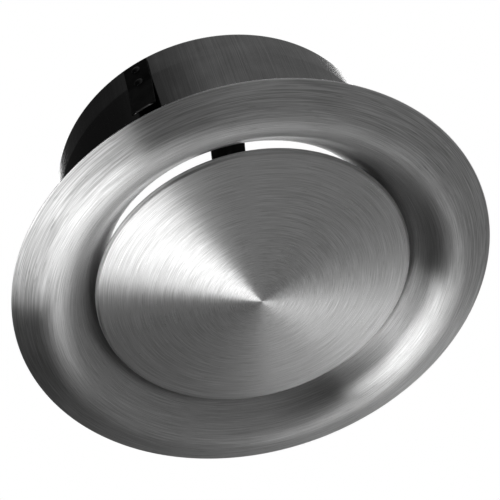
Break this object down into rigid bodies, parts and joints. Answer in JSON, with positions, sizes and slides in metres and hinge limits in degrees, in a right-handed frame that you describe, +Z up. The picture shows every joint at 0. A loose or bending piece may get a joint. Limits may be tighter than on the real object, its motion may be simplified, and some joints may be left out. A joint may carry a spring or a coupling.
{
  "type": "ceiling air diffuser",
  "caption": "Round ceiling disc valve: spun ring with bell-mouthed throat, shallow cone disc on a screw spindle, and a duct spigot with spring clips.",
  "frame": {"origin": "on the valve's axis, in the plane of the ceiling", "axes": "+Z up into the duct; the ring and the disc face -Z, down into the room; the bridge strap lies along X"},
  "size_m": [0.17, 0.17, 0.0764],
  "materials": {
    "face_steel": "concentric brushed stainless steel",
    "disc_steel": "fine turned stainless steel",
    "neck_steel": "rolled stainless steel",
    "foam": "closed-cell foam",
    "bridge_black": "black oxide",
    "clip_black": "blackened spring steel",
    "rivet_steel": "darkened steel",
    "screw_zinc": "zinc plated",
    "bush_zinc": "zinc plated",
    "bracket_steel": "mill finish",
    "spring_steel": "phosphated spring steel"
  },
  "bodies": {
    "valve_body": {"front_ring": "face_steel", "neck_sleeve": "neck_steel", "ceiling_gasket": "foam", "bridge_strap": "bridge_black", "bridge_bush": "bush_zinc", "bridge_rivets": "rivet_steel", "clip_rivets": "rivet_steel", "clip_base_1": "clip_black", "clip_base_2": "clip_black", "clip_base_3": "clip_black"},
    "stop_ring": {"spindle_stop_ring": "spring_steel"},
    "disc": {"disc_shell": "disc_steel", "disc_bracket": "bracket_steel", "disc_washer": "screw_zinc", "disc_nut": "screw_zinc", "spindle": "screw_zinc"},
    "lock_washer": {"lock_washer": "spring_steel"},
    "lock_nut": {"lock_nut": "screw_zinc"},
    "clip_1": {"clip_leaf_1": "clip_black"},
    "clip_2": {"clip_leaf_2": "clip_black"},
    "clip_3": {"clip_leaf_3": "clip_black"}
  },
  "joints": [
    {"name": "disc_travel", "type": "slide", "parent": "valve_body", "child": "stop_ring", "axis": [0, 0, -1], "range_m": [-0.00401, 0.01151]},
    {"name": "disc_turn", "type": "hinge", "parent": "stop_ring", "child": "disc", "pos_m": [0, 0, 0], "axis": [0, 0, -1], "range_deg": [-1152, 3312]},
    {"name": "lock_nut_travel", "type": "slide", "parent": "valve_body", "child": "lock_washer", "axis": [0, 0, 1], "range_m": [0, 0.0025]},
    {"name": "lock_nut_turn", "type": "hinge", "parent": "lock_washer", "child": "lock_nut", "pos_m": [0, 0, 0.04], "axis": [0, 0, 1], "range_deg": [0, 720.5]},
    {"name": "clip_1_flex", "type": "hinge", "parent": "valve_body", "child": "clip_1", "pos_m": [0.05583, -0.02603, 0.04952], "axis": [0.4226, 0.9063, 0], "range_deg": [0, 9.6], "stiffness_Nm_per_rad": 0.8},
    {"name": "clip_2_flex", "type": "hinge", "parent": "valve_body", "child": "clip_2", "pos_m": [-0.00537, 0.06137, 0.04952], "axis": [-0.9962, -0.0872, 0], "range_deg": [0, 9.6], "stiffness_Nm_per_rad": 0.8},
    {"name": "clip_3_flex", "type": "hinge", "parent": "valve_body", "child": "clip_3", "pos_m": [-0.05046, -0.03533, 0.04952], "axis": [0.5736, -0.8192, 0], "range_deg": [0, 9.6], "stiffness_Nm_per_rad": 0.8}
  ],
  "couplings": [
    {"joint": "disc_travel", "follows": "disc_turn", "m_per_rad": 0.00019894},
    {"joint": "lock_nut_turn", "follows": "lock_nut_travel", "rad_per_m": 5026.5}
  ]
}
